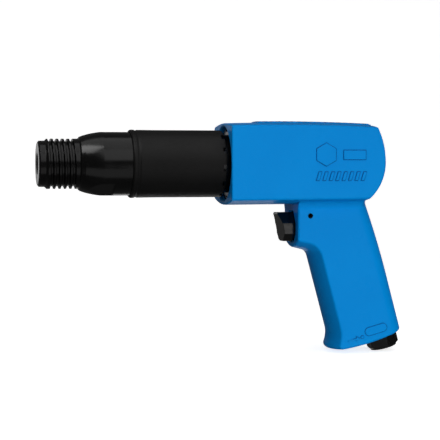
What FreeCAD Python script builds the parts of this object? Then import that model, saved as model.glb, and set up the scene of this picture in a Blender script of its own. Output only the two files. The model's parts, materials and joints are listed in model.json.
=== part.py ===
"""Pneumatic rivet gun with a pistol grip, built as separate pieces.

Millimetres. The origin is the centre of the shank bore at the nose face. X runs
back along the barrel, Z is up, and the grip hangs down. Each function makes one
piece, and the last table names the file of each.
"""
import FreeCAD, Part
import math
import os

from FreeCAD import Vector

# ---- barrel -----------------------------------------------------------------
BARREL_LENGTH = 158.0
BARREL_R = 17.0            # tail, inside the sleeve and the housing
HEAD_R = 18.45             # the plain cylinder in front of the sleeve
HEAD_END = 56.0
PILOT_R = 13.3
SHANK_BORE_R = 6.35        # takes a 12.6 mm rivet set shank
SHANK_BORE_LENGTH = 44.0
PISTON_BORE_R = 9.55
PISTON_BORE_START = 46.0
THREAD_CREST_R = 14.5      # nose thread for the retainer
THREAD_ROOT_R = 13.0
THREAD_PITCH = 3.13
GROOVE_START = 4.98
GROOVE_TURNS = 5.5
FLAT_APOTHEM = 17.2        # two spanner flats
FLAT_START, FLAT_END = 26.0, 43.0
FLAT_TURN = 60.0           # degrees below the side
TRANSFER_R = 13.3          # pitch radius of the long air passages and the dowel
TRANSFER_HOLE_R = 1.5
DOWEL_R = 1.5
EXHAUST_PORT_X = 88.0
EXHAUST_PORT_R = 2.0
BARREL_GROOVE_X = 150.0    # O-ring groove near the tail
BARREL_GROOVE_WIDTH = 2.6
BARREL_GROOVE_R = 15.1

# ---- exhaust sleeve and lock ring ---------------------------------------------
SLEEVE_START, SLEEVE_END = 53.0, 107.6
SLEEVE_R = 19.65
SLEEVE_LIP_R = 19.9
SLEEVE_BORE_R = 17.95
SLEEVE_SEAT_END = 64.0
NOTCH_COUNT = 12
NOTCH_WIDTH = 3.6
NOTCH_DEPTH = 2.0
NOTCH_TURN = 7.0
LOCK_RING_START, LOCK_RING_END = 111.6, 119.8
LOCK_RING_R = 21.2

# ---- housing body ---------------------------------------------------------------
MOUTH_X = 109.3
MOUTH_BORE_R = 21.75
MOUTH_DEPTH = 10.8
CHAMBER_START = 158.0
CHAMBER_END = 178.0
CHAMBER_R = 16.2
BODY_HALF_WIDTH = 24.0
BODY_EDGE_R = 1.6
CROWN_X, CROWN_Z = 146.0, 24.45    # highest point of the top
CROWN_ALONG_R = 1150.0             # the top is arched along the barrel
CROWN_ACROSS_R = 150.0             # and across it
KEEL_Z = -24.2                     # middle of the underside at the mouth
KEEL_R = 90.0
KEEL_RISE = 0.3                    # degrees, the underside rises to the rear
KEEL_END_R = 3.0
REAR_X, REAR_Z = 202.5, 0.8
REAR_UPPER_R = 46.0
REAR_LOWER_R = 28.5
MOUTH_EDGE_R = 0.8
PAD_START, PAD_END = 128.0, 197.0
PAD_HALF_WIDTH = 11.0
PAD_HEIGHT = 0.4
PAD_RIB_HEIGHT = 0.8
PAD_RIB_COUNT = 17
PAD_RIB_WIDTH = 1.8

# ---- grip -----------------------------------------------------------------------
GRIP_LEAN = 15.0           # degrees, the foot leans to the rear
GRIP_ORIGIN = Vector(170.0, 0.0, -25.0)
GRIP_HALF_WIDTH = 15.7
GRIP_FRONT = -11.55        # front edges of the flat sides
FRONT_BULGE = 4.35         # the front face is arched beyond them
GRIP_EDGE_R = 1.4
GRIP_REAR = 25.7
GRIP_REAR_R = 8.0
GRIP_FOOT = 85.6           # lowest point, down the grip from its origin
FOOT_ARCH_R = 131.0        # the foot is slightly rounded
FOOT_MIDDLE = 2.0
TOE_START = 71.5
TOE_BEND_R = 18.3
TOE_BEND = 33.0            # degrees
TOE_EDGE_R = 2.5
NECK_R = 6.0               # where the grip meets the body
BOSS_FRONT = 151.0
BOSS_CORNER_Z = -45.0
BOSS_SLOPE = 14.0          # degrees, its underside falls to the rear
BOSS_BEND_R = 10.5         # from the underside into the front of the grip

# ---- trigger and throttle -------------------------------------------------------
TRIGGER_Z = -37.3
TRIGGER_TIP_X = 141.2
TRIGGER_FOOT_X = 144.6
TRIGGER_DISH = 1.1
TRIGGER_REAR_X = 162.0
TRIGGER_HALF_HEIGHT = 8.6
TRIGGER_HALF_WIDTH = 9.0
TRIGGER_TOP_HALF_WIDTH = 4.2
TRIGGER_SIDE_TOP = 2.1     # its flat sides reach this far above and below TRIGGER_Z
TRIGGER_SIDE_FOOT = -4.2
TRIGGER_TRAVEL = 4.0
POCKET_GAP = 0.9
POCKET_END = 167.0
ROLL_PIN_X, ROLL_PIN_Z = 158.5, -30.6
ROLL_PIN_R = 1.5
THROTTLE_Z = -37.4
THROTTLE_BORE_R = 6.0
THROTTLE_BORE_END = 194.0
BUSHING_START, BUSHING_END = 168.0, 180.0
STEM_R = 1.6
STEM_HEAD_START, STEM_HEAD_END = 181.6, 183.4
STEM_HEAD_R = 4.6
SPRING_WIRE_R = 0.4
SPRING_R = 3.1
SPRING_TURNS = 5
FEED_X = 174.5             # passage from the throttle up to the valve chamber
FEED_R = 3.0

# ---- valve block ----------------------------------------------------------------
FRONT_CASE_START, FRONT_CASE_END = 158.05, 164.0
REAR_CASE_END = 173.0
CASE_R = 16.0
DISC_R = 10.2
DISC_THICKNESS = 2.2
DISC_CAVITY_R = 10.4
DISC_CAVITY_DEPTH = 3.4
BUMPER_END = 177.9

# ---- inlet and flow regulator, measured along the grip ------------------------------
INLET_E = 15.7             # behind the grip's centre line
INLET_BORE_R = 7.05
INLET_BORE_TOP = 68.0
INLET_SEAL = 79.0          # O-ring round the fitting
INLET_THREAD_R = 5.72      # wall of the 1/4 in pipe thread
INLET_THREAD_LENGTH = 12.0
HEX_ACROSS_FLATS = 17.0
HEX_START, HEX_END = 86.0, 92.2
INLET_END = 93.0
INLET_COLLAR_R = 7.9
PASSAGE_R = 3.6
REGULATOR_E = 2.2
REGULATOR_R = 4.5
REGULATOR_TOP = 50.0
REGULATOR_FOOT = 83.6
CROSS_PASSAGE_R = 2.2
UPPER_CROSS, LOWER_CROSS = 54.5, 65.0

# ---- raised marks on the cast sides ---------------------------------------------
MARK_HEIGHT = 0.45
MARK_SINK = 1.2

X_AXIS = Vector(1, 0, 0)
Y_AXIS = Vector(0, 1, 0)
Z_AXIS = Vector(0, 0, 1)


# ---- helpers --------------------------------------------------------------------
def side_point(a, b):
    """A point of the XZ plane."""
    return Vector(a, 0, b)


def outline(points, place=side_point):
    """Closed wire through the points. A point tagged "via" is the middle of an arc."""
    edges = []
    start = place(*points[0])
    middle = None
    for point in list(points[1:]) + [points[0]]:
        if point[0] == "via":
            middle = place(*point[1:])
            continue
        end = place(*point)
        if middle is None:
            edges.append(Part.makeLine(start, end))
        else:
            edges.append(Part.Arc(start, middle, end).toShape())
        start, middle = end, None
    return Part.Wire(edges)


def turned(points):
    """Solid of revolution about the barrel axis, from points of (x, radius)."""
    return Part.Face(outline(points)).revolve(Vector(0, 0, 0), X_AXIS, 360)


def rod(start, end, radius, z=0.0):
    """Cylinder along X."""
    return Part.makeCylinder(radius, end - start, Vector(start, 0, z), X_AXIS)


def tube(start, end, outer, inner):
    """Tube about the barrel axis."""
    return rod(start, end, outer).cut(rod(start - 1, end + 1, inner))


def ring_seal(centre, axis, radius, wire_radius):
    """O-ring."""
    return Part.makeTorus(radius, wire_radius, centre, axis)


def slab(points, half_width):
    """Side outline extruded both ways across the tool."""
    wire = outline(points)
    wire.translate(Vector(0, -half_width, 0))
    return Part.Face(wire).extrude(Vector(0, 2 * half_width, 0))


def grip_point(e, s, y=0.0):
    """Point at e behind the grip's centre line and s down the grip."""
    lean = math.radians(GRIP_LEAN)
    along = Vector(math.sin(lean), 0, -math.cos(lean))
    back = Vector(math.cos(lean), 0, math.sin(lean))
    return GRIP_ORIGIN + back * e + along * s + Y_AXIS * y


GRIP_AXIS = grip_point(0, 1) - grip_point(0, 0)
GRIP_BACK = grip_point(1, 0) - grip_point(0, 0)


def grip_rod(e, start, end, radius):
    """Cylinder along the grip."""
    return Part.makeCylinder(radius, end - start, grip_point(e, start), GRIP_AXIS)


def around_x(shape, count, turn=0.0):
    """Copies of a shape spread evenly about the barrel axis."""
    copies = []
    for i in range(count):
        copy = shape.copy()
        copy.rotate(Vector(0, 0, 0), X_AXIS, turn + 360.0 * i / count)
        copies.append(copy)
    return copies


def middle_of(edge):
    """Point half way along an edge."""
    return edge.valueAt(sum(edge.ParameterRange) / 2)


def one_solid(shape):
    """The single solid inside a boolean result."""
    assert len(shape.Solids) == 1, len(shape.Solids)
    return shape.Solids[0]


# ---- barrel group ---------------------------------------------------------------
def thread_groove():
    """Helical groove between the ridges of the nose thread."""
    length = GROOVE_TURNS * THREAD_PITCH
    helix = Part.makeHelix(THREAD_PITCH, length, THREAD_CREST_R)
    foot, mouth, outside = 0.5, 1.35, THREAD_CREST_R + 0.8
    profile = outline([
        (THREAD_ROOT_R, -foot), (outside, -mouth), (outside, mouth),
        (THREAD_ROOT_R, foot)])
    groove = Part.Wire(helix.Edges).makePipeShell([profile], True, True)
    groove.rotate(Vector(0, 0, 0), Y_AXIS, 90)
    groove.translate(Vector(GROOVE_START, 0, 0))
    return groove


def barrel():
    body = turned([
        (0, 0), (0, 12.4), (0.9, PILOT_R), (4.0, PILOT_R), (5.3, THREAD_CREST_R),
        (23.3, THREAD_CREST_R), (23.6, 15.1), (24.1, 15.6), (26.2, 16.4),
        ("via", 30.9, 17.6), (36.5, HEAD_R), (HEAD_END - 0.4, HEAD_R),
        (HEAD_END, HEAD_R - 0.4), (HEAD_END, BARREL_R), (BARREL_LENGTH - 0.8, BARREL_R),
        (BARREL_LENGTH, BARREL_R - 0.8), (BARREL_LENGTH, 0)])
    bore = turned([
        (-1, 0), (-1, SHANK_BORE_R), (SHANK_BORE_LENGTH, SHANK_BORE_R),
        (PISTON_BORE_START, PISTON_BORE_R),
        (BARREL_LENGTH - 1.0, PISTON_BORE_R), (BARREL_LENGTH + 0.2, PISTON_BORE_R + 1.2),
        (BARREL_LENGTH + 0.2, 0)])
    flat = Part.makeBox(
        FLAT_END - FLAT_START, 2 * HEAD_R, HEAD_R,
        Vector(FLAT_START, -HEAD_R, FLAT_APOTHEM))
    cuts = [bore, thread_groove()] + around_x(flat, 2, 180 - (90 - FLAT_TURN))
    port = Part.makeCylinder(
        EXHAUST_PORT_R, BARREL_R + 1, Vector(EXHAUST_PORT_X, 0, 0), Z_AXIS)
    cuts += around_x(port, 4, 45)
    passage = rod(PISTON_BORE_START + 4, BARREL_LENGTH + 1, TRANSFER_HOLE_R, z=TRANSFER_R)
    crossing = Part.makeCylinder(
        TRANSFER_HOLE_R, TRANSFER_R, Vector(PISTON_BORE_START + 6.5, 0, 0), Z_AXIS)
    cuts += around_x(passage.fuse(crossing), 2, 90)
    cuts.append(rod(BARREL_LENGTH - 6, BARREL_LENGTH + 1, DOWEL_R, z=TRANSFER_R))
    cuts.append(tube(
        BARREL_GROOVE_X, BARREL_GROOVE_X + BARREL_GROOVE_WIDTH, BARREL_R + 1,
        BARREL_GROOVE_R))
    return one_solid(body.cut(cuts))


def exhaust_sleeve():
    start, end = SLEEVE_START, SLEEVE_END
    seat_r = BARREL_R + 0.02
    body = turned([
        (start, HEAD_R + 0.35), (start, 19.0), ("via", start + 0.35, 19.55),
        (start + 1.1, SLEEVE_LIP_R), (start + 2.6, SLEEVE_LIP_R - 0.05),
        ("via", start + 3.6, SLEEVE_R - 0.2), (start + 4.6, SLEEVE_R + 0.1),
        (start + 14, SLEEVE_R), (end - 0.5, SLEEVE_R), (end, SLEEVE_R - 0.5),
        (end, SLEEVE_BORE_R), (SLEEVE_SEAT_END + 1, SLEEVE_BORE_R),
        (SLEEVE_SEAT_END, seat_r), (HEAD_END + 0.2, seat_r),
        (HEAD_END + 0.2, HEAD_R + 0.1), (start + 0.6, HEAD_R + 0.1)])
    notch = Part.makeBox(
        NOTCH_DEPTH + 1, NOTCH_WIDTH, 6,
        Vector(end - NOTCH_DEPTH, -NOTCH_WIDTH / 2, SLEEVE_BORE_R - 2))
    return one_solid(body.cut(around_x(notch, NOTCH_COUNT, 90 + NOTCH_TURN)))


def barrel_lock_ring():
    ring = turned([
        (LOCK_RING_START, BARREL_R + 0.03), (LOCK_RING_START, LOCK_RING_R - 0.6),
        (LOCK_RING_START + 0.6, LOCK_RING_R), (LOCK_RING_END, LOCK_RING_R),
        (LOCK_RING_END, BARREL_R + 0.03)])
    slot = Part.makeBox(
        3.0, 4.0, 4.0, Vector(LOCK_RING_START - 1, -2.0, LOCK_RING_R - 2.2))
    return one_solid(ring.cut(around_x(slot, 6)))


def barrel_o_ring():
    centre = Vector(BARREL_GROOVE_X + BARREL_GROOVE_WIDTH / 2, 0, 0)
    return ring_seal(centre, X_AXIS, (BARREL_GROOVE_R + BARREL_R) / 2 + 0.03, 0.9)


def piston():
    rear, length = BARREL_LENGTH - 1.2, 40.0
    front = rear - length
    r = PISTON_BORE_R - 0.05
    neck_r = r - 0.8
    return turned([
        (front, 0), (front, r - 1.6), (front + 1.2, r - 0.4), (front + 1.6, r),
        (front + 9, r), (front + 9.6, neck_r), (front + 24, neck_r), (front + 24.6, r),
        (rear - 1, r), (rear, r - 1), (rear, 3.2), (rear - 3, 2.6), (rear - 3, 0)])


# ---- valve block ----------------------------------------------------------------
def valve_front_case():
    start, end = FRONT_CASE_START, FRONT_CASE_END
    disc = turned([
        (start, 0), (start, CASE_R - 0.5), (start + 0.5, CASE_R), (end, CASE_R),
        (end, 0)])
    ports = around_x(rod(start - 1, end + 1, TRANSFER_HOLE_R, z=TRANSFER_R), 2, 90)
    dowel_hole = rod(start - 1, end + 1, DOWEL_R, z=TRANSFER_R)
    feed = rod(start - 1, end + 1, 3.6)
    ring_groove = tube(end - 0.8, end + 1, 9.2, 7.4)
    return one_solid(disc.cut(ports + [dowel_hole, feed, ring_groove]))


def cycle_valve_disc():
    start = FRONT_CASE_END + 0.1
    return turned([
        (start, 2.2), (start, DISC_R - 0.3), (start + 0.3, DISC_R),
        (start + DISC_THICKNESS - 0.3, DISC_R), (start + DISC_THICKNESS, DISC_R - 0.3),
        (start + DISC_THICKNESS, 2.2)])


def valve_rear_case():
    start, end = FRONT_CASE_END, REAR_CASE_END
    cap = turned([
        (start, 0), (start, CASE_R), (end - 0.5, CASE_R), (end, CASE_R - 0.5), (end, 0)])
    cavity = rod(start - 1, start + DISC_CAVITY_DEPTH, DISC_CAVITY_R)
    ports = around_x(rod(start + 1, end + 1, 1.6, z=7.0), 6, 30)
    channels = around_x(rod(start - 1, start + 4, TRANSFER_HOLE_R, z=TRANSFER_R), 2, 90)
    link = Part.makeBox(1.6, 3.0, TRANSFER_R, Vector(start - 0.1, -1.5, 0))
    links = around_x(link, 2, 90)
    dowel_hole = rod(start - 1, end - 2, DOWEL_R, z=TRANSFER_R)
    return one_solid(cap.cut([cavity, dowel_hole] + ports + channels + links))


def valve_dowel_pin():
    return rod(BARREL_LENGTH - 5.5, REAR_CASE_END - 2.5, DOWEL_R - 0.02, z=TRANSFER_R)


def rear_bumper():
    start = REAR_CASE_END + 0.02
    middle = (start + BUMPER_END) / 2
    ring = turned([
        (start, 10.2), (start, CASE_R - 0.4), ("via", middle, CASE_R),
        (BUMPER_END, CASE_R - 0.4), (BUMPER_END, 10.2), ("via", middle, 10.6)])
    slot = Part.makeBox(2.4, 5.0, CASE_R + 1, Vector(start - 0.4, -2.5, 0))
    return one_solid(ring.cut(around_x(slot, 4)))


# ---- trigger and throttle -------------------------------------------------------
def trigger_section(x, grow=0.0):
    """Eight-sided section of the trigger."""
    top = TRIGGER_Z + TRIGGER_HALF_HEIGHT + grow
    foot = TRIGGER_Z - TRIGGER_HALF_HEIGHT - grow
    wide = TRIGGER_HALF_WIDTH + grow
    narrow = TRIGGER_TOP_HALF_WIDTH + grow / 2
    high = TRIGGER_Z + TRIGGER_SIDE_TOP
    low = TRIGGER_Z + TRIGGER_SIDE_FOOT
    corners = [
        (narrow, top), (wide, high), (wide, low), (narrow, foot), (-narrow, foot),
        (-wide, low), (-wide, high), (-narrow, top)]
    return outline(corners, lambda y, z: Vector(x, y, z))


def trigger_button():
    start = TRIGGER_TIP_X - 4
    block = Part.Face(trigger_section(start)).extrude(
        Vector(TRIGGER_REAR_X - start, 0, 0))
    long_edges = [e for e in block.Edges if abs(e.tangentAt(0).x) > 0.9]
    block = block.makeFillet(0.9, long_edges)
    top = TRIGGER_Z + TRIGGER_HALF_HEIGHT
    foot = TRIGGER_Z - TRIGGER_HALF_HEIGHT
    front = slab([
        (start - 1, top + 1), (TRIGGER_TIP_X + 0.2, top + 1), (TRIGGER_TIP_X, top - 1.2),
        ("via", (TRIGGER_TIP_X + TRIGGER_FOOT_X) / 2 + TRIGGER_DISH, TRIGGER_Z),
        (TRIGGER_FOOT_X, foot + 1.2), (TRIGGER_FOOT_X + 0.9, foot - 1),
        (start - 1, foot - 1)], TRIGGER_HALF_WIDTH + 1)
    block = block.cut(front)
    notch = Part.makeBox(
        TRIGGER_TRAVEL + 2 * ROLL_PIN_R + 0.2, 2 * TRIGGER_HALF_WIDTH, 6,
        Vector(ROLL_PIN_X - ROLL_PIN_R - 0.1 - TRIGGER_TRAVEL, -TRIGGER_HALF_WIDTH,
               ROLL_PIN_Z - ROLL_PIN_R - 0.15))
    return one_solid(block.cut(notch))


def trigger_roll_pin():
    length = 2 * GRIP_HALF_WIDTH - 0.6
    start = Vector(ROLL_PIN_X, -length / 2, ROLL_PIN_Z)
    pin = Part.makeCylinder(ROLL_PIN_R, length, start, Y_AXIS)
    hollow = Part.makeCylinder(0.8, length, start, Y_AXIS)
    slit = Part.makeBox(
        0.5, length, 2, Vector(ROLL_PIN_X - 0.25, -length / 2, ROLL_PIN_Z))
    return one_solid(pin.cut([hollow, slit]))


def throttle_bushing():
    start, end = BUSHING_START, BUSHING_END
    r = THROTTLE_BORE_R - 0.04
    body = turned([
        (start, STEM_R + 0.05), (start, r - 0.4), (start + 0.4, r), (start + 1.2, r),
        (start + 1.2, r - 1.3), (start + 3.2, r - 1.3), (start + 3.2, r),
        (start + 4.4, r), (start + 4.4, r - 1.2), (end - 3.0, r - 1.2), (end - 3.0, r),
        (end, r), (end, 3.2), (start + 4.2, 3.2), (start + 4.2, STEM_R + 0.05)])
    port = Part.makeCylinder(1.4, 9, Vector(FEED_X + 0.2, 0, 0), Z_AXIS)
    body = body.cut(around_x(port, 4))
    body.translate(Vector(0, 0, THROTTLE_Z))
    return one_solid(body)


def throttle_bushing_o_ring():
    centre = Vector(BUSHING_START + 2.2, 0, THROTTLE_Z)
    return ring_seal(centre, X_AXIS, THROTTLE_BORE_R - 0.72, 0.62)


def throttle_stem():
    start, tail_end = TRIGGER_REAR_X + 0.05, 187.0
    groove_r = 3.0
    body = turned([
        (start, 0), (start, STEM_R - 0.3), (start + 0.3, STEM_R),
        (BUSHING_END + 0.1, STEM_R), (BUSHING_END + 0.1, groove_r),
        (STEM_HEAD_START, groove_r), (STEM_HEAD_START, STEM_HEAD_R),
        (STEM_HEAD_END, STEM_HEAD_R), (STEM_HEAD_END, 2.0), (tail_end, 2.0),
        (tail_end, 0)])
    body.translate(Vector(0, 0, THROTTLE_Z))
    return body


def throttle_seat_o_ring():
    centre = Vector((BUSHING_END + STEM_HEAD_START) / 2 + 0.03, 0, THROTTLE_Z)
    return ring_seal(centre, X_AXIS, 3.78, 0.72)


def throttle_spring():
    wire_r = SPRING_WIRE_R
    start = STEM_HEAD_END + wire_r + 0.02
    length = THROTTLE_BORE_END - wire_r - 0.02 - start
    helix = Part.makeHelix(length / SPRING_TURNS, length, SPRING_R)
    circle = Part.Wire(Part.Circle(Vector(SPRING_R, 0, 0), Y_AXIS, wire_r).toShape())
    coil = Part.Wire(helix.Edges).makePipeShell([circle], True, True)
    coil.rotate(Vector(0, 0, 0), Y_AXIS, 90)
    coil.translate(Vector(start, 0, THROTTLE_Z))
    return one_solid(coil)


# ---- inlet and flow regulator -----------------------------------------------------
def hexagon(across_flats, start, end, e):
    """Hexagonal prism along the grip, with corners facing sideways."""
    corner_r = across_flats / math.sqrt(3)
    corners = []
    for i in range(6):
        angle = math.radians(30 + 60 * i)
        corners.append((e + corner_r * math.cos(angle), corner_r * math.sin(angle)))
    wire = outline(corners, lambda a, y: grip_point(a, start, y))
    return Part.Face(wire).extrude(GRIP_AXIS * (end - start))


def grip_slab(e0, e1, s0, s1, half_width):
    """Block across the tool, square to the grip."""
    wire = outline(
        [(e0, s0), (e1, s0), (e1, s1), (e0, s1)],
        lambda e, s: grip_point(e, s, -half_width))
    return Part.Face(wire).extrude(Vector(0, 2 * half_width, 0))


def grip_turned(e, points):
    """Solid of revolution about a line along the grip, from points of (s, radius)."""
    wire = outline(points, lambda s, r: grip_point(e + r, s))
    return Part.Face(wire).revolve(grip_point(e, 0), GRIP_AXIS, 360)


def air_inlet_bushing():
    nut = hexagon(HEX_ACROSS_FLATS, HEX_START, HEX_END, INLET_E)
    corner_r = HEX_ACROSS_FLATS / math.sqrt(3)
    chamfered = grip_turned(INLET_E, [
        (HEX_START, 0), (HEX_START, corner_r - 0.5), (HEX_START + 0.5, corner_r + 0.05),
        (HEX_END - 1.3, corner_r + 0.05), (HEX_END, corner_r - 1.7), (HEX_END, 0)])
    stem = grip_turned(INLET_E, [
        (INLET_BORE_TOP + 1.4, 0), (INLET_BORE_TOP + 1.4, INLET_BORE_R - 0.5),
        (INLET_BORE_TOP + 1.9, INLET_BORE_R - 0.05),
        (INLET_SEAL - 1.0, INLET_BORE_R - 0.05), (INLET_SEAL - 1.0, 5.9),
        (INLET_SEAL + 1.0, 5.9), (INLET_SEAL + 1.0, INLET_BORE_R - 0.05),
        (HEX_START + 0.1, INLET_BORE_R - 0.05), (HEX_START + 0.1, 0)])
    collar = grip_rod(INLET_E, HEX_END - 0.5, INLET_END, INLET_COLLAR_R)
    thread_top = INLET_END - INLET_THREAD_LENGTH
    hollow = grip_turned(INLET_E, [
        (INLET_BORE_TOP, 0), (INLET_BORE_TOP, 4.2), (thread_top - 1, 4.2),
        (thread_top, INLET_THREAD_R), (INLET_END - 0.9, INLET_THREAD_R),
        (INLET_END + 0.1, INLET_THREAD_R + 1.0), (INLET_END + 0.1, 0)])
    return one_solid(nut.common(chamfered).fuse([stem, collar]).cut(hollow))


def inlet_o_ring():
    return ring_seal(grip_point(INLET_E, INLET_SEAL), GRIP_AXIS, 6.5, 0.52)


def inlet_screen():
    """Perforated disc held between the bushing and the end of its bore."""
    start, thickness, hole_r, spacing = INLET_BORE_TOP + 0.3, 0.7, 0.55, 1.7
    disc = grip_rod(INLET_E, start, start + thickness, INLET_BORE_R - 0.25)
    holes = [grip_rod(INLET_E, start - 1, start + 2, hole_r)]
    for ring in (1, 2):
        for i in range(6 * ring):
            angle = math.radians(360.0 * i / (6 * ring))
            hole = grip_rod(
                INLET_E + ring * spacing * math.cos(angle), start - 1, start + 2, hole_r)
            hole.translate(Y_AXIS * (ring * spacing * math.sin(angle)))
            holes.append(hole)
    return one_solid(disc.cut(holes))


def flow_regulator():
    r = REGULATOR_R - 0.05
    body = grip_turned(REGULATOR_E, [
        (REGULATOR_TOP + 0.3, 0), (REGULATOR_TOP + 0.3, r - 0.5),
        (REGULATOR_TOP + 0.8, r), (UPPER_CROSS - 2.4, r), (UPPER_CROSS - 2.4, 2.4),
        (UPPER_CROSS + 2.4, 2.4), (UPPER_CROSS + 2.4, r), (71.5, r), (71.5, r - 1.2),
        (73.5, r - 1.2), (73.5, r), (79.5, r), (79.5, r - 0.9), (80.8, r - 0.9),
        (80.8, r), (REGULATOR_FOOT - 0.4, r), (REGULATOR_FOOT, r - 0.4),
        (REGULATOR_FOOT, 0)])
    metering_flat = grip_slab(
        REGULATOR_E + 1.6, REGULATOR_E + 6, UPPER_CROSS - 1, LOWER_CROSS + 3, 7)
    slot = grip_slab(
        REGULATOR_E - 0.6, REGULATOR_E + 0.6, REGULATOR_FOOT - 1.6, REGULATOR_FOOT + 1, 6)
    slot.rotate(grip_point(REGULATOR_E, 0), GRIP_AXIS, 45)
    return one_solid(body.cut([metering_flat, slot]))


def regulator_o_ring():
    return ring_seal(
        grip_point(REGULATOR_E, 72.5), GRIP_AXIS, REGULATOR_R - 0.63, 0.55)


def regulator_snap_ring():
    ring = grip_turned(REGULATOR_E, [
        (79.7, REGULATOR_R - 0.85), (79.7, REGULATOR_R + 0.75),
        (80.6, REGULATOR_R + 0.75), (80.6, REGULATOR_R - 0.85)])
    gap = grip_slab(REGULATOR_E - 7, REGULATOR_E, 79, 82, 1.5)
    return one_solid(ring.cut(gap))


# ---- housing ----------------------------------------------------------------------
def rear_arc_point(radius, dz):
    """Point of the rear profile at dz above its rearmost point."""
    return REAR_X - radius + math.sqrt(radius ** 2 - dz ** 2), REAR_Z + dz


def crown(lift=0.0):
    """Solid under the arched top surface, raised by lift."""
    centre = Vector(CROWN_X, 0, CROWN_Z - CROWN_ALONG_R)
    return Part.makeTorus(
        CROWN_ALONG_R - CROWN_ACROSS_R, CROWN_ACROSS_R + lift, centre, Y_AXIS)


def keel():
    """Solid above the arched underside."""
    rise = math.radians(KEEL_RISE)
    axis = Vector(math.cos(rise), 0, math.sin(rise))
    start = Vector(MOUTH_X, 0, KEEL_Z + KEEL_R) - axis * 30
    return Part.makeCylinder(KEEL_R, 180, start, axis)


def body_block():
    low = rear_arc_point(REAR_LOWER_R, -26.0)
    sides = slab([
        (MOUTH_X, 30), rear_arc_point(REAR_UPPER_R, 29.2),
        ("via",) + rear_arc_point(REAR_UPPER_R, 15), (REAR_X, REAR_Z),
        ("via",) + rear_arc_point(REAR_LOWER_R, -15), low, (MOUTH_X, low[1])],
        BODY_HALF_WIDTH)
    block = one_solid(sides.common(crown()).common(keel()))
    keel_end = [
        e for e in block.Edges
        if abs(middle_of(e).y) < 5 and middle_of(e).z < 0 and middle_of(e).x > 180]
    block = block.makeFillet(KEEL_END_R, keel_end)
    outer = []
    for edge in block.Edges:
        point = middle_of(edge)
        inside = abs(point.y) < BODY_HALF_WIDTH - 1 and point.z < 10
        if point.x > MOUTH_X + 1 and not inside:
            outer.append(edge)
    return block.makeFillet(BODY_EDGE_R, outer)


def rounded_mouth(block):
    """Soften the front edge of the body."""
    return block.makeFillet(
        MOUTH_EDGE_R, [e for e in block.Edges if abs(middle_of(e).x - MOUTH_X) < 0.01])


def front_steps():
    """Front edge of the grip's flat sides: straight runs (length) and bends (radius, angle)."""
    slope = math.tan(math.radians(BOSS_SLOPE))
    turn = 90.0 - GRIP_LEAN - BOSS_SLOPE
    top = grip_point(GRIP_FRONT, 0)
    drop = top.z - BOSS_CORNER_Z + (top.x - BOSS_FRONT) * slope
    s = drop / (-GRIP_AXIS.z - GRIP_AXIS.x * slope)
    corner = grip_point(GRIP_FRONT, s)
    cut = BOSS_BEND_R * math.tan(math.radians(turn / 2))
    first = (corner - Vector(BOSS_FRONT, 0, BOSS_CORNER_Z)).Length - cut
    return [(first,), (BOSS_BEND_R, turn), (TOE_START - s - cut,),
            (TOE_BEND_R, TOE_BEND), (12.0,)]


def grip_front():
    """Outline points of that edge, and the arched face carried along it."""
    w = GRIP_HALF_WIDTH
    here = Vector(BOSS_FRONT, 0, BOSS_CORNER_Z)
    heading = BOSS_SLOPE
    points, arched = [(here.x, here.z)], []
    for step in front_steps():
        angle = math.radians(heading)
        ahead = Vector(math.cos(angle), 0, -math.sin(angle))
        out = Vector(-math.sin(angle), 0, -math.cos(angle))
        section = Part.Face(outline(
            [(-4, -w), (0, -w), ("via", FRONT_BULGE, 0), (0, w), (-4, w)],
            lambda n, y: here + out * n + Y_AXIS * y))
        if len(step) == 1:
            arched.append(section.extrude(ahead * step[0]))
            here = here + ahead * step[0]
        else:
            centre = here + out * step[0]
            arched.append(section.revolve(centre, Y_AXIS, step[1]))
            half = FreeCAD.Rotation(Y_AXIS, step[1] / 2)
            middle = centre + half.multVec(here - centre)
            here = centre + half.multVec(middle - centre)
            points.append(("via", middle.x, middle.z))
            heading += step[1]
        points.append((here.x, here.z))
    return points, arched


def grip_block():
    """Boss, leaning grip and toe in one, with an arched front and a rounded rear."""
    w = GRIP_HALF_WIDTH
    points, arched = grip_front()
    for point in ((GRIP_REAR, GRIP_FOOT + 8), (GRIP_REAR, 45), ("via", GRIP_REAR - 0.55, 26),
                  (GRIP_REAR - 1.7, 8), (GRIP_REAR - 2.6, -4)):
        place = grip_point(*point[-2:])
        points.append(("via",) * (len(point) - 2) + (place.x, place.z))
    points.append((BOSS_FRONT, place.z))
    block = slab(points, w).fuse(arched)
    foot = Part.makeCylinder(
        FOOT_ARCH_R, 4 * w, grip_point(FOOT_MIDDLE, GRIP_FOOT - FOOT_ARCH_R, -2 * w), Y_AXIS)
    ahead = Part.makeBox(20, 3 * w, 60, Vector(BOSS_FRONT - 20, -1.5 * w, -70))
    block = one_solid(block.common(foot).cut(ahead).removeSplitter())
    for names, radius in ((("rear",), GRIP_REAR_R), (("toe",), TOE_EDGE_R),
                          (("boss", "side", "foot"), GRIP_EDGE_R)):
        edges = grip_edges(block)
        block = block.makeFillet(radius, sum((edges[name] for name in names), []))
    return block


def grip_edges(block):
    """The grip block's edges still to be rounded, by their place."""
    groups = {"side": [], "rear": [], "boss": [], "toe": [], "foot": []}
    top = block.BoundBox.ZMax - 0.01
    for edge in block.Edges:
        point = middle_of(edge)
        e = (point - GRIP_ORIGIN).dot(GRIP_BACK)
        s = (point - GRIP_ORIGIN).dot(GRIP_AXIS)
        flank = abs(abs(point.y) - GRIP_HALF_WIDTH) < 0.01
        rise = GRIP_FOOT - s - (e - FOOT_MIDDLE) ** 2 / (2 * FOOT_ARCH_R)
        if abs(rise) < 0.1:
            groups["toe" if e < -15 else "foot"].append(edge)
        elif abs(point.x - BOSS_FRONT) < 0.01 and point.z < top:
            groups["boss"].append(edge)
        elif flank and point.z < top:
            groups["rear" if e > 15 else "side"].append(edge)
    return groups


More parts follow.
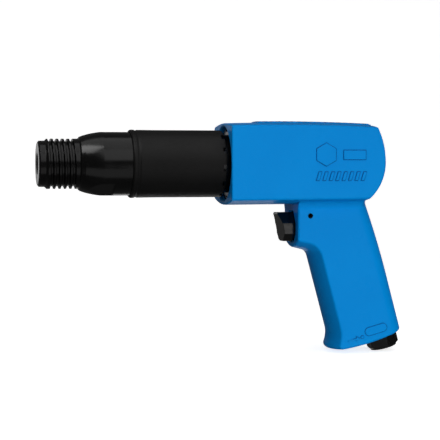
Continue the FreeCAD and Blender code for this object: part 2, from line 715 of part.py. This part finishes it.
def joined_grip(body):
    """Body and grip in one, with a hollow fillet at the sides and rear of the joint."""
    grip = grip_block()
    blank = one_solid(body.fuse(grip))
    seam = []
    for edge in blank.Edges:
        point = Part.Vertex(middle_of(edge))
        if max(s.Shells[0].distToShape(point)[0] for s in (body, grip)) < 1e-3:
            seam.append(edge)
    blank = blank.makeFillet(NECK_R, seam)
    web = Part.makeBox(
        NECK_R + 1, 2 * BODY_HALF_WIDTH, 16,
        Vector(BOSS_FRONT - NECK_R - 1, -BODY_HALF_WIDTH, KEEL_Z - 12))
    return one_solid(blank.cut(web.cut(keel())))


def top_pad():
    """Low ribbed pad on top of the body."""
    def strip(start, end, half_width, lift):
        box = Part.makeBox(end - start, 2 * half_width, 12, Vector(start, -half_width, 15))
        return box.common(crown(lift))
    strips = [strip(PAD_START, PAD_END, PAD_HALF_WIDTH, PAD_HEIGHT)]
    pitch = (PAD_END - PAD_START - 2 * PAD_RIB_WIDTH) / (PAD_RIB_COUNT - 1)
    for i in range(PAD_RIB_COUNT):
        start = PAD_START + PAD_RIB_WIDTH / 2 + i * pitch
        strips.append(strip(
            start, start + PAD_RIB_WIDTH, PAD_HALF_WIDTH - 1.2, PAD_RIB_HEIGHT))
    return strips


def raised(face_wires, half_width, height):
    """Raised marks on both sides of the tool, from wires drawn in the XZ plane."""
    outer = Part.Face(face_wires)
    depth = MARK_SINK + height
    near = outer.extrude(Vector(0, depth, 0))
    near.translate(Vector(0, -half_width - height, 0))
    far = outer.extrude(Vector(0, depth, 0))
    far.translate(Vector(0, half_width - MARK_SINK, 0))
    return [near, far]


def six_sided(x, z, radius):
    corners = []
    for i in range(6):
        angle = math.radians(30 + 60 * i)
        corners.append((x + radius * math.cos(angle), z + radius * math.sin(angle)))
    return outline(corners)


def circle(x, z, radius):
    return Part.Wire(Part.Circle(Vector(x, 0, z), Vector(0, -1, 0), radius).toShape())


def rectangle(x0, z0, x1, z1):
    return outline([(x0, z0), (x1, z0), (x1, z1), (x0, z1)])


def body_marks():
    """Plain cast marks: a nut outline, a framed set of bars and a row of bars."""
    w = BODY_HALF_WIDTH
    x, z = 165.6, 5.4
    marks = raised([six_sided(x, z, 8.0), six_sided(x, z, 6.9)], w, MARK_HEIGHT)
    marks += raised([circle(x, z, 4.4), circle(x, z, 3.3)], w, MARK_HEIGHT)
    marks += raised([rectangle(175.2, 1.6, 190.6, 8.8), rectangle(176.0, 2.4, 189.8, 8.0)],
                    w, MARK_HEIGHT)
    for i in range(4):
        x = 177.6 + i * 3.1
        marks += raised([rectangle(x, 3.3, x + 1.3, 7.1)], w, MARK_HEIGHT)
    slant = 1.6
    for i in range(8):
        x = 159.4 + i * 3.9
        bar = outline([(x, -9.8), (x + 2.0, -9.8), (x + 2.0 + slant, -4.6),
                       (x + slant, -4.6)])
        marks += raised([bar], w, MARK_HEIGHT)
    return marks


def grip_marks():
    """Plain oval frame with a drop, and the low to high arrow of the regulator."""
    def rails(radius):
        e0, e1, s = 4.6, 13.6, 78.6
        return outline([
            (e0, s - radius), (e1, s - radius), ("via", e1 + radius, s), (e1, s + radius),
            (e0, s + radius), ("via", e0 - radius, s)], grip_point)

    def drop():
        return outline([
            (9.1, 76.4), ("via", 10.5, 78.6), (10.4, 79.9), ("via", 9.1, 81.0),
            (7.8, 79.9), ("via", 7.7, 78.6)], grip_point)

    def dot(e, radius):
        centre = grip_point(e, 80.6)
        return circle(centre.x, centre.z, radius)

    arrow = outline([
        (-7.4, 80.2), (-3.9, 80.2), (-3.9, 79.0), (-1.9, 80.6), (-3.9, 82.2),
        (-3.9, 81.0), (-7.4, 81.0)], grip_point)
    marks = []
    for wires in ([rails(3.2), rails(2.5)], [drop()], [dot(-8.9, 0.6)],
                  [dot(-0.2, 1.0)], [arrow]):
        marks += raised(wires, GRIP_HALF_WIDTH, MARK_HEIGHT - 0.1)
    return marks


def barrel_cavity():
    """Mouth recess, barrel bore and valve chamber."""
    return turned([
        (MOUTH_X - 1, 0), (MOUTH_X - 1, MOUTH_BORE_R + 0.7), (MOUTH_X, MOUTH_BORE_R + 0.7),
        (MOUTH_X + 0.7, MOUTH_BORE_R), (MOUTH_X + MOUTH_DEPTH, MOUTH_BORE_R),
        (MOUTH_X + MOUTH_DEPTH, BARREL_R + 0.04), (CHAMBER_START, BARREL_R + 0.04),
        (CHAMBER_START, CHAMBER_R), (CHAMBER_END, CHAMBER_R), (CHAMBER_END, 0)])


def trigger_cavity():
    """Trigger pocket, throttle bore and the roll pin's hole."""
    pocket = Part.Face(trigger_section(BOSS_FRONT - 1, POCKET_GAP)).extrude(
        Vector(POCKET_END - BOSS_FRONT + 1, 0, 0))
    bore = rod(POCKET_END - 1, THROTTLE_BORE_END, THROTTLE_BORE_R, z=THROTTLE_Z)
    pin_hole = Part.makeCylinder(
        ROLL_PIN_R + 0.02, 60, Vector(ROLL_PIN_X, -30, ROLL_PIN_Z), Y_AXIS)
    feed = Part.makeCylinder(
        FEED_R, abs(THROTTLE_Z) - CHAMBER_R + 2, Vector(FEED_X, 0, THROTTLE_Z), Z_AXIS)
    return [pocket, bore, pin_hole, feed]


def air_passages():
    """Inlet bore, regulator bore and the passages between them and the throttle."""
    cuts = [
        grip_rod(INLET_E, INLET_BORE_TOP, GRIP_FOOT + 1, INLET_BORE_R),
        grip_rod(INLET_E, LOWER_CROSS - 2, INLET_BORE_TOP + 1, PASSAGE_R),
        grip_rod(INLET_E, 17.0, UPPER_CROSS + CROSS_PASSAGE_R, PASSAGE_R),
        grip_rod(REGULATOR_E, REGULATOR_TOP, GRIP_FOOT + 1, REGULATOR_R),
        grip_rod(REGULATOR_E, 79.6, 80.7, REGULATOR_R + 0.8)]
    for s in (UPPER_CROSS, LOWER_CROSS):
        cuts.append(Part.makeCylinder(
            CROSS_PASSAGE_R, INLET_E - REGULATOR_E, grip_point(REGULATOR_E, s), GRIP_BACK))
    return cuts


def housing():
    blank = joined_grip(rounded_mouth(body_block()))
    blank = blank.fuse(top_pad() + body_marks() + grip_marks())
    cuts = [barrel_cavity()] + trigger_cavity() + air_passages()
    return one_solid(blank.cut(cuts))


PIECES = {
    "housing": housing,
    "barrel": barrel,
    "exhaust_sleeve": exhaust_sleeve,
    "barrel_lock_ring": barrel_lock_ring,
    "barrel_o_ring": barrel_o_ring,
    "piston": piston,
    "valve_front_case": valve_front_case,
    "cycle_valve_disc": cycle_valve_disc,
    "valve_rear_case": valve_rear_case,
    "valve_dowel_pin": valve_dowel_pin,
    "rear_bumper": rear_bumper,
    "trigger_button": trigger_button,
    "trigger_roll_pin": trigger_roll_pin,
    "throttle_bushing": throttle_bushing,
    "throttle_bushing_o_ring": throttle_bushing_o_ring,
    "throttle_stem": throttle_stem,
    "throttle_seat_o_ring": throttle_seat_o_ring,
    "throttle_spring": throttle_spring,
    "air_inlet_bushing": air_inlet_bushing,
    "inlet_o_ring": inlet_o_ring,
    "inlet_screen": inlet_screen,
    "flow_regulator": flow_regulator,
    "regulator_o_ring": regulator_o_ring,
    "regulator_snap_ring": regulator_snap_ring,
}

os.makedirs("parts", exist_ok=True)
for name, make in PIECES.items():
    make().exportStep("parts/%s.step" % name)
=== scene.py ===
import json
import math

import bpy
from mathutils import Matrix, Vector


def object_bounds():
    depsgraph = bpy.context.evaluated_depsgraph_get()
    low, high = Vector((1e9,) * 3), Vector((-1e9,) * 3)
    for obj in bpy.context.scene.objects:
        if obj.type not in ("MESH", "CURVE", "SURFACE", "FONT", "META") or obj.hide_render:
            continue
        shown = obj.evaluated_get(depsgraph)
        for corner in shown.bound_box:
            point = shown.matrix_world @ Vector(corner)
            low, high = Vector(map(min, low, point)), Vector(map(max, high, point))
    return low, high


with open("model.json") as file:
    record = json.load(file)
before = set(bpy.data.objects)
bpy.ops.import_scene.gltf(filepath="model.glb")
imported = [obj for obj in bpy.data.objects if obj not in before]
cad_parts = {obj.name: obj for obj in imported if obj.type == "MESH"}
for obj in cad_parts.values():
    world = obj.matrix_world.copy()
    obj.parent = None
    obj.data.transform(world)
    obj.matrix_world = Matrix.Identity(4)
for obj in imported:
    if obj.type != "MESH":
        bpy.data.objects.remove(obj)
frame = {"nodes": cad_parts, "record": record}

CAD_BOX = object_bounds()

# Where the housing's raised marks are, in metres from the tool's middle plane and origin.
BODY_MARKS_OUT = 0.0236
BODY_MARKS_START = 0.150
GRIP_MARKS_OUT = 0.0155
GRIP_MARKS_TOP = -0.070
GRIP_MARKS_FOOT = -0.104

FLOOR_HALF_WIDTH = 3.0
FLOOR_FRONT = -3.0
FLOOR_BACK = 1.6
FLOOR_HEIGHT = 2.4
FLOOR_BEND_R = 0.9
FLOOR_BEND_STEPS = 12


# ---- node helpers -----------------------------------------------------------------
class Shader:
    """One material under construction: a Principled shader and the nodes that feed it."""

    def __init__(self, name, **values):
        self.material = bpy.data.materials.new(name)
        self.material.use_nodes = True
        self.tree = self.material.node_tree
        self.tree.nodes.clear()
        self.out = self.add("ShaderNodeOutputMaterial")
        self.bsdf = self.add("ShaderNodeBsdfPrincipled")
        self.link(self.bsdf.outputs["BSDF"], self.out.inputs["Surface"])
        for key, value in values.items():
            self.bsdf.inputs[key.replace("_", " ")].default_value = value
        self.place = self.add("ShaderNodeTexCoord").outputs["Object"]

    def add(self, kind, **settings):
        node = self.tree.nodes.new(kind)
        for key, value in settings.items():
            setattr(node, key, value)
        return node

    def link(self, source, target):
        self.tree.links.new(source, target)

    def feed(self, target, value):
        """Link a socket, or set a plain number or colour."""
        if isinstance(value, bpy.types.NodeSocket):
            self.link(value, target)
        else:
            target.default_value = value

    def stretched(self, scale, turn=(0.0, 0.0, 0.0)):
        node = self.add("ShaderNodeMapping")
        self.link(self.place, node.inputs["Vector"])
        node.inputs["Scale"].default_value = scale
        node.inputs["Rotation"].default_value = turn
        return node.outputs["Vector"]

    def noise(self, scale, detail=3.0, rough=0.5, vector=None, distortion=0.0):
        node = self.add("ShaderNodeTexNoise")
        self.link(vector or self.place, node.inputs["Vector"])
        node.inputs["Scale"].default_value = scale
        node.inputs["Detail"].default_value = detail
        node.inputs["Roughness"].default_value = rough
        node.inputs["Distortion"].default_value = distortion
        return node.outputs["Fac"]

    def cells(self, scale):
        node = self.add("ShaderNodeTexVoronoi")
        self.link(self.place, node.inputs["Vector"])
        node.inputs["Scale"].default_value = scale
        return node.outputs["Distance"]

    def span(self, value, low, high, to_low=0.0, to_high=1.0):
        """Value remapped from low..high to to_low..to_high, clamped."""
        node = self.add("ShaderNodeMapRange")
        for key, item in (("Value", value), ("From Min", low), ("From Max", high),
                          ("To Min", to_low), ("To Max", to_high)):
            self.feed(node.inputs[key], item)
        return node.outputs["Result"]

    def math(self, operation, a, b=0.0):
        node = self.add("ShaderNodeMath", operation=operation)
        self.feed(node.inputs[0], a)
        self.feed(node.inputs[1], b)
        return node.outputs[0]

    def mix(self, factor, a, b):
        """Colour a at factor 0, colour b at factor 1."""
        node = self.add("ShaderNodeMix", data_type="RGBA")
        self.feed(node.inputs[0], factor)
        self.feed(node.inputs[6], a)
        self.feed(node.inputs[7], b)
        return node.outputs[2]

    def axis(self, name):
        node = self.add("ShaderNodeSeparateXYZ")
        self.link(self.place, node.inputs["Vector"])
        return node.outputs[name]

    def edges(self, radius, low, high):
        """1 on convex and concave edges, 0 on open faces."""
        bevel = self.add("ShaderNodeBevel", samples=6)
        bevel.inputs["Radius"].default_value = radius
        geometry = self.add("ShaderNodeNewGeometry")
        dot = self.add("ShaderNodeVectorMath", operation="DOT_PRODUCT")
        self.link(bevel.outputs["Normal"], dot.inputs[0])
        self.link(geometry.outputs["Normal"], dot.inputs[1])
        return self.span(dot.outputs["Value"], high, low)

    def hollows(self, distance):
        """1 deep in corners, 0 on open faces."""
        node = self.add("ShaderNodeAmbientOcclusion", samples=6, only_local=True)
        node.inputs["Distance"].default_value = distance
        return self.span(node.outputs["AO"], 0.55, 0.95, 1.0, 0.0)

    def bump(self, layers, soften=None):
        """Height layers (height, strength, distance), over edges softened by that radius."""
        normal = None
        if soften:
            bevel = self.add("ShaderNodeBevel", samples=6)
            bevel.inputs["Radius"].default_value = soften
            normal = bevel.outputs["Normal"]
        for height, strength, distance in layers:
            node = self.add("ShaderNodeBump")
            node.inputs["Strength"].default_value = strength
            node.inputs["Distance"].default_value = distance
            self.link(height, node.inputs["Height"])
            if normal:
                self.link(normal, node.inputs["Normal"])
            normal = node.outputs["Normal"]
        self.link(normal, self.bsdf.inputs["Normal"])

    def colour(self, value):
        self.feed(self.bsdf.inputs["Base Color"], value)

    def roughness(self, value):
        self.feed(self.bsdf.inputs["Roughness"], value)


def rgb(r, g, b):
    return (r, g, b, 1.0)


# ---- materials ----------------------------------------------------------------------
def marked_zones(s):
    """1 where the raised marks are: the body's flat sides and the foot of the grip; it bounds the
    painted shade that outlines the marks.
    """
    out = s.math("ABSOLUTE", s.axis("Y"))
    body = s.math("MULTIPLY", s.math("GREATER_THAN", out, BODY_MARKS_OUT),
                  s.math("GREATER_THAN", s.axis("X"), BODY_MARKS_START))
    grip = s.math("MULTIPLY", s.math("GREATER_THAN", out, GRIP_MARKS_OUT),
                  s.math("LESS_THAN", s.axis("Z"), GRIP_MARKS_TOP))
    grip = s.math("MULTIPLY", grip, s.math("GREATER_THAN", s.axis("Z"), GRIP_MARKS_FOOT))
    return s.math("MAXIMUM", body, grip)


def blue_paint():
    """Semi-gloss blue paint over a cast housing, with painted shade in its hollows and a painted
    dark outline of shade round the raised marks.
    """
    s = Shader("blue_paint", Specular_IOR_Level=0.03)
    cloud = s.span(s.noise(28.0, 4.0), 0.3, 0.7)
    base = s.mix(cloud, rgb(0.0006, 0.262, 0.745), rgb(0.0008, 0.280, 0.775))
    # painted shade: deeper blue in corners and hollows, found by ambient occlusion and broken up by
    # noise
    painted_hollow_shade = s.math("MULTIPLY", s.hollows(0.004), s.span(s.noise(160.0, 5.0), 0.35, 0.65))
    base = s.mix(s.math("MULTIPLY", painted_hollow_shade, 0.35), base, rgb(0.002, 0.10, 0.27))
    rub = s.math("MULTIPLY", s.edges(0.0007, 0.90, 0.985),
                 s.span(s.noise(420.0, 6.0, 0.7), 0.42, 0.62))
    base = s.mix(s.math("MULTIPLY", rub, 0.22), base, rgb(0.05, 0.36, 0.78))
    # painted shade: dark blue along the edges of the raised marks, in place of the shadows round
    # their relief
    painted_mark_outline_shade = s.math("MULTIPLY", s.edges(0.0007, 0.93, 0.995), marked_zones(s))
    base = s.mix(s.math("MULTIPLY", painted_mark_outline_shade, 0.95), base, rgb(0.001, 0.07, 0.30))
    s.colour(base)
    s.roughness(s.span(s.noise(75.0, 5.0, 0.6), 0.25, 0.75, 0.24, 0.34))
    s.bump([(s.noise(900.0, 2.0), 0.10, 0.0004), (s.noise(150.0, 3.0), 0.06, 0.0012)],
           soften=0.0005)
    return s.material


def black_steel():
    """Glossy black finish on turned steel."""
    s = Shader("black_steel", Specular_IOR_Level=0.3)
    rings = s.noise(1.0, 3.0, 0.6, vector=s.stretched((2600.0, 30.0, 30.0)))
    cloud = s.noise(60.0, 4.0)
    base = s.mix(s.span(cloud, 0.3, 0.7), rgb(0.0010, 0.0010, 0.0011), rgb(0.0024, 0.0024, 0.0025))
    rub = s.math("MULTIPLY", s.edges(0.0005, 0.86, 0.98),
                 s.span(s.noise(500.0, 6.0, 0.7), 0.45, 0.62))
    base = s.mix(s.math("MULTIPLY", rub, 0.12), base, rgb(0.05, 0.05, 0.053))
    s.colour(base)
    s.roughness(s.span(s.noise(140.0, 5.0, 0.65), 0.25, 0.75, 0.15, 0.26))
    s.bump([(rings, 0.05, 0.0002), (s.noise(700.0, 3.0), 0.03, 0.0003)], soften=0.0003)
    return s.material


def black_sleeve():
    """Satin black with a fine grain."""
    s = Shader("black_sleeve", Specular_IOR_Level=0.15)
    grain = s.noise(2600.0, 3.0, 0.7)
    speck = s.span(s.cells(2200.0), 0.0, 0.5)
    base = s.mix(s.span(grain, 0.35, 0.7), rgb(0.0030, 0.0029, 0.0029), rgb(0.0105, 0.0101, 0.0101))
    s.colour(s.mix(s.span(s.noise(40.0, 3.0), 0.3, 0.7), base, rgb(0.005, 0.005, 0.005)))
    s.roughness(s.span(s.noise(220.0, 5.0, 0.7), 0.25, 0.75, 0.36, 0.5))
    s.bump([(grain, 0.35, 0.00025), (speck, 0.12, 0.0002)], soften=0.0004)
    return s.material


def trigger_plastic():
    """Moulded black trigger."""
    s = Shader("trigger_plastic", Specular_IOR_Level=0.5)
    base = s.mix(s.span(s.noise(120.0, 4.0), 0.3, 0.7), rgb(0.0014, 0.0014, 0.0016),
                 rgb(0.003, 0.003, 0.0033))
    shine = s.span(s.noise(260.0, 5.0, 0.7), 0.3, 0.7, 0.12, 0.22)
    s.colour(base)
    s.roughness(shine)
    s.bump([(s.noise(1500.0, 3.0), 0.06, 0.0003)], soften=0.0005)
    return s.material


def inlet_black():
    """Black oxide on a turned and milled steel fitting."""
    s = Shader("inlet_black", Specular_IOR_Level=0.4)
    base = s.mix(s.span(s.noise(180.0, 5.0), 0.3, 0.7), rgb(0.0010, 0.0010, 0.0011),
                 rgb(0.0022, 0.0022, 0.0024))
    rub = s.math("MULTIPLY", s.edges(0.0005, 0.84, 0.98),
                 s.span(s.noise(600.0, 6.0, 0.7), 0.4, 0.6))
    s.colour(s.mix(s.math("MULTIPLY", rub, 0.25), base, rgb(0.10, 0.10, 0.105)))
    s.roughness(s.span(s.noise(300.0, 5.0, 0.7), 0.3, 0.7, 0.22, 0.38))
    s.bump([(s.noise(1100.0, 4.0), 0.14, 0.0003)], soften=0.0004)
    return s.material


def metal(name, low, high, rough_low, rough_high, grain=(60.0, 60.0, 1500.0)):
    """Bare metal with fine machining marks and a little oil staining."""
    s = Shader(name, Metallic=1.0)
    stain = s.span(s.noise(90.0, 5.0, 0.6), 0.3, 0.7)
    s.colour(s.mix(stain, low, high))
    marks = s.noise(1.0, 3.0, 0.6, vector=s.stretched(grain))
    s.roughness(s.span(s.noise(260.0, 5.0, 0.7), 0.3, 0.7, rough_low, rough_high))
    s.bump([(marks, 0.12, 0.0002)], soften=0.0002)
    return s.material


def rubber():
    """Matt black rubber with a fine grain."""
    s = Shader("black_rubber", Specular_IOR_Level=0.4)
    s.colour(s.mix(s.span(s.noise(300.0, 4.0), 0.3, 0.7), rgb(0.010, 0.010, 0.010),
                   rgb(0.022, 0.022, 0.022)))
    s.roughness(s.span(s.noise(500.0, 4.0), 0.3, 0.7, 0.55, 0.75))
    s.bump([(s.noise(2200.0, 3.0), 0.2, 0.0002)])
    return s.material


MATERIALS = {
    "blue_paint": blue_paint(),
    "black_steel": black_steel(),
    "black_sleeve": black_sleeve(),
    "black_rubber": rubber(),
    "bright_steel": metal("bright_steel", rgb(0.42, 0.42, 0.43), rgb(0.60, 0.60, 0.62),
                          0.18, 0.34),
    "spring_steel": metal("spring_steel", rgb(0.36, 0.36, 0.37), rgb(0.50, 0.50, 0.52),
                          0.22, 0.36),
    "dark_spring_steel": metal("dark_spring_steel", rgb(0.004, 0.004, 0.005),
                               rgb(0.012, 0.012, 0.014), 0.3, 0.45),
    "trigger_plastic": trigger_plastic(),
    "inlet_black": inlet_black(),
    "brass": metal("brass", rgb(0.56, 0.40, 0.16), rgb(0.74, 0.56, 0.26), 0.2, 0.36),
}

for part in frame["record"]["subparts"]:
    node = frame["nodes"][part["node"]]
    node.data.materials.clear()
    node.data.materials.append(MATERIALS[part["material_slot"]])


# ---- floor and backdrop -----------------------------------------------------------
def backdrop():
    """Pale floor that sweeps up behind the tool."""
    low = CAD_BOX[0].z
    bend_start = FLOOR_BACK - FLOOR_BEND_R
    profile = [(FLOOR_FRONT, 0.0), (bend_start, 0.0)]
    for i in range(1, FLOOR_BEND_STEPS + 1):
        angle = math.radians(90.0 * i / FLOOR_BEND_STEPS)
        profile.append((bend_start + FLOOR_BEND_R * math.sin(angle),
                        FLOOR_BEND_R - FLOOR_BEND_R * math.cos(angle)))
    profile.append((FLOOR_BACK, FLOOR_HEIGHT))
    vertices = []
    for y, z in profile:
        vertices += [(-FLOOR_HALF_WIDTH, y, low + z), (FLOOR_HALF_WIDTH, y, low + z)]
    faces = [(2 * i, 2 * i + 1, 2 * i + 3, 2 * i + 2) for i in range(len(profile) - 1)]
    mesh = bpy.data.meshes.new("floor")
    mesh.from_pydata(vertices, [], faces)
    for face in mesh.polygons:
        face.use_smooth = True
    floor = bpy.data.objects.new("floor", mesh)
    bpy.context.scene.collection.objects.link(floor)
    floor.visible_glossy = False
    floor.visible_diffuse = False
    s = Shader("floor_paper", Specular_IOR_Level=0.1, Emission_Strength=0.75,
               Emission_Color=rgb(1.0, 1.0, 1.0))
    s.colour(s.mix(s.noise(3.0, 2.0), rgb(0.90, 0.90, 0.90), rgb(0.93, 0.93, 0.93)))
    s.roughness(0.9)
    mesh.materials.append(s.material)


backdrop()


# ---- light ------------------------------------------------------------------------
AIM = Vector((0.11, 0.0, -0.03))


def softbox(name, place, size, radiance, mirrored=True, matt=True):
    """Rectangular soft light aimed at the tool, for reflections, for matt light or both."""
    data = bpy.data.lights.new(name, "AREA")
    data.shape = "RECTANGLE"
    data.size, data.size_y = size
    data.energy = radiance * math.pi * size[0] * size[1]
    lamp = bpy.data.objects.new(name, data)
    lamp.location = place
    lamp.rotation_mode = "QUATERNION"
    lamp.rotation_quaternion = (AIM - Vector(place)).to_track_quat("-Z", "Y")
    lamp.visible_camera = False
    lamp.visible_glossy = mirrored
    lamp.visible_diffuse = matt
    bpy.context.scene.collection.objects.link(lamp)


softbox("key", (0.75, -1.3, 1.0), (2.0, 1.4), 1.1, matt=False)
softbox("overhead", (0.1, -0.15, 1.1), (1.6, 1.0), 0.9)
softbox("upper_left", (-0.42, -0.50, 1.0), (0.75, 0.6), 4.5, matt=False)
softbox("right_card", (0.52, -1.15, -0.22), (0.4, 0.35), 1.6, matt=False)
softbox("bounce", (0.25, -0.7, -0.5), (1.6, 0.5), 0.45)
softbox("fill", (0.20, -1.5, 0.2), (2.0, 1.4), 2.15, mirrored=False)
softbox("low_fill", (0.10, -0.4, -0.9), (0.9, 0.7), 0.9, mirrored=False)
softbox("left_fill", (-0.9, 0.2, 0.8), (0.7, 0.7), 1.2, mirrored=False)
softbox("back_card", (0.1, 1.1, 0.08), (0.9, 0.24), 0.55, matt=False)
softbox("low_card", (0.40, 1.1, -0.6), (0.5, 0.4), 1.0, matt=False)

world = bpy.data.worlds.new("studio")
world.use_nodes = True
world.node_tree.nodes["Background"].inputs["Color"].default_value = rgb(1.0, 1.0, 1.0)
world.node_tree.nodes["Background"].inputs["Strength"].default_value = 0.08
bpy.context.scene.world = world


# ---- camera -------------------------------------------------------------------------
camera_data = bpy.data.cameras.new("camera")
camera_data.sensor_width = 36.0
camera_data.lens = 118.6
camera_data.clip_start = 0.05
camera_data.clip_end = 20.0
camera = bpy.data.objects.new("camera", camera_data)
camera.location = (-0.0791, -0.8348, -0.0003)
camera.rotation_euler = (math.radians(87.8), 0.0, math.radians(-12.6))
bpy.context.scene.collection.objects.link(camera)
bpy.context.scene.camera = camera

bpy.context.scene.view_settings.view_transform = "Standard"
bpy.context.scene.view_settings.look = "None"
